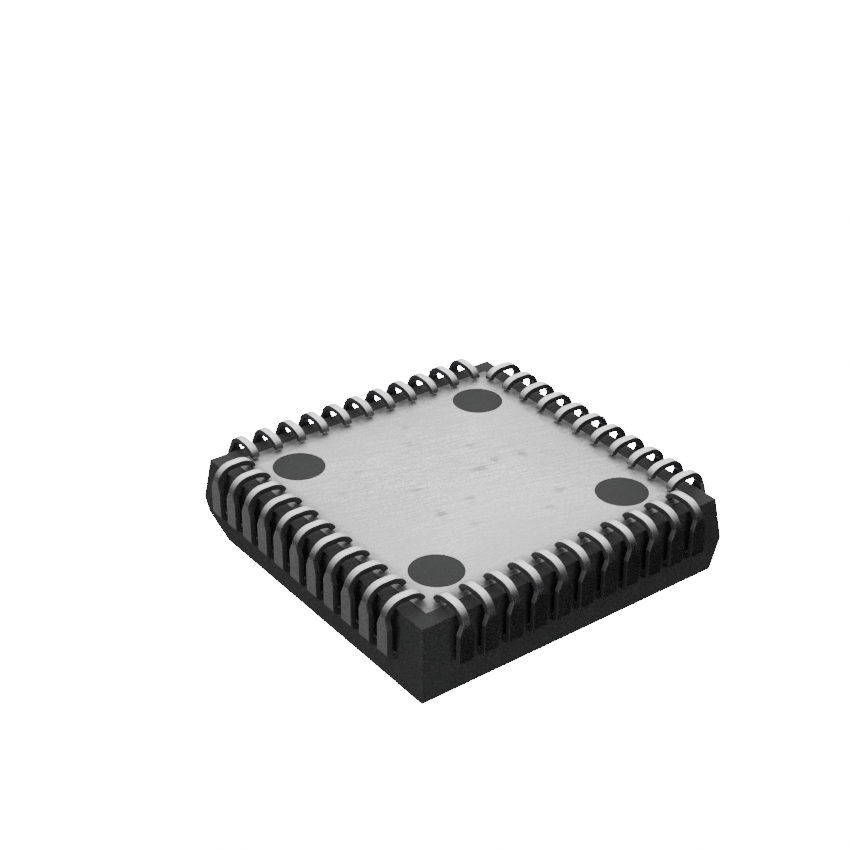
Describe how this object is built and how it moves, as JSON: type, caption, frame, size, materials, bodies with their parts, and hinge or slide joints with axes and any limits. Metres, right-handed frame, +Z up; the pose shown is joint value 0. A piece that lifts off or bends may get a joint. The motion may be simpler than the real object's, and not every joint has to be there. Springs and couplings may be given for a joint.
{
  "type": "plastic leaded chip carrier",
  "caption": "Square moulded chip package with J-shaped leads curled under on all four sides, a slanted pin 1 corner and a metal plate in the underside.",
  "frame": {"origin": "centre of the seating plane, at the lowest points of the leads", "axes": "+Z up to the marking face, +X to the side of pin 1, +Y to the side of pin 12"},
  "size_m": [0.0176, 0.0176, 0.0043],
  "materials": {
    "compound": "fine matte moulding compound, dark grey",
    "lead_plating": "satin tin plating on copper alloy",
    "base_plate": "light grey with fine brushed streaks",
    "lead_frame": "bare copper alloy",
    "adhesive": "silver-filled adhesive",
    "silicon": "polished silicon",
    "gold": "gold wire"
  },
  "bodies": {
    "root": {"moulded_body": "compound", "base_plate": "base_plate", "die_paddle": "lead_frame", "die_attach": "adhesive", "die": "silicon", "bond_wires": "gold", "lead_01": "lead_plating", "lead_02": "lead_plating", "lead_03": "lead_plating", "lead_04": "lead_plating", "lead_05": "lead_plating", "lead_06": "lead_plating", "lead_07": "lead_plating", "lead_08": "lead_plating", "lead_09": "lead_plating", "lead_10": "lead_plating", "lead_11": "lead_plating", "lead_12": "lead_plating", "lead_13": "lead_plating", "lead_14": "lead_plating", "lead_15": "lead_plating", "lead_16": "lead_plating", "lead_17": "lead_plating", "lead_18": "lead_plating", "lead_19": "lead_plating", "lead_20": "lead_plating", "lead_21": "lead_plating", "lead_22": "lead_plating", "lead_23": "lead_plating", "lead_24": "lead_plating", "lead_25": "lead_plating", "lead_26": "lead_plating", "lead_27": "lead_plating", "lead_28": "lead_plating", "lead_29": "lead_plating", "lead_30": "lead_plating", "lead_31": "lead_plating", "lead_32": "lead_plating", "lead_33": "lead_plating", "lead_34": "lead_plating", "lead_35": "lead_plating", "lead_36": "lead_plating", "lead_37": "lead_plating", "lead_38": "lead_plating", "lead_39": "lead_plating", "lead_40": "lead_plating", "lead_41": "lead_plating", "lead_42": "lead_plating", "lead_43": "lead_plating", "lead_44": "lead_plating"}
  },
  "joints": []
}
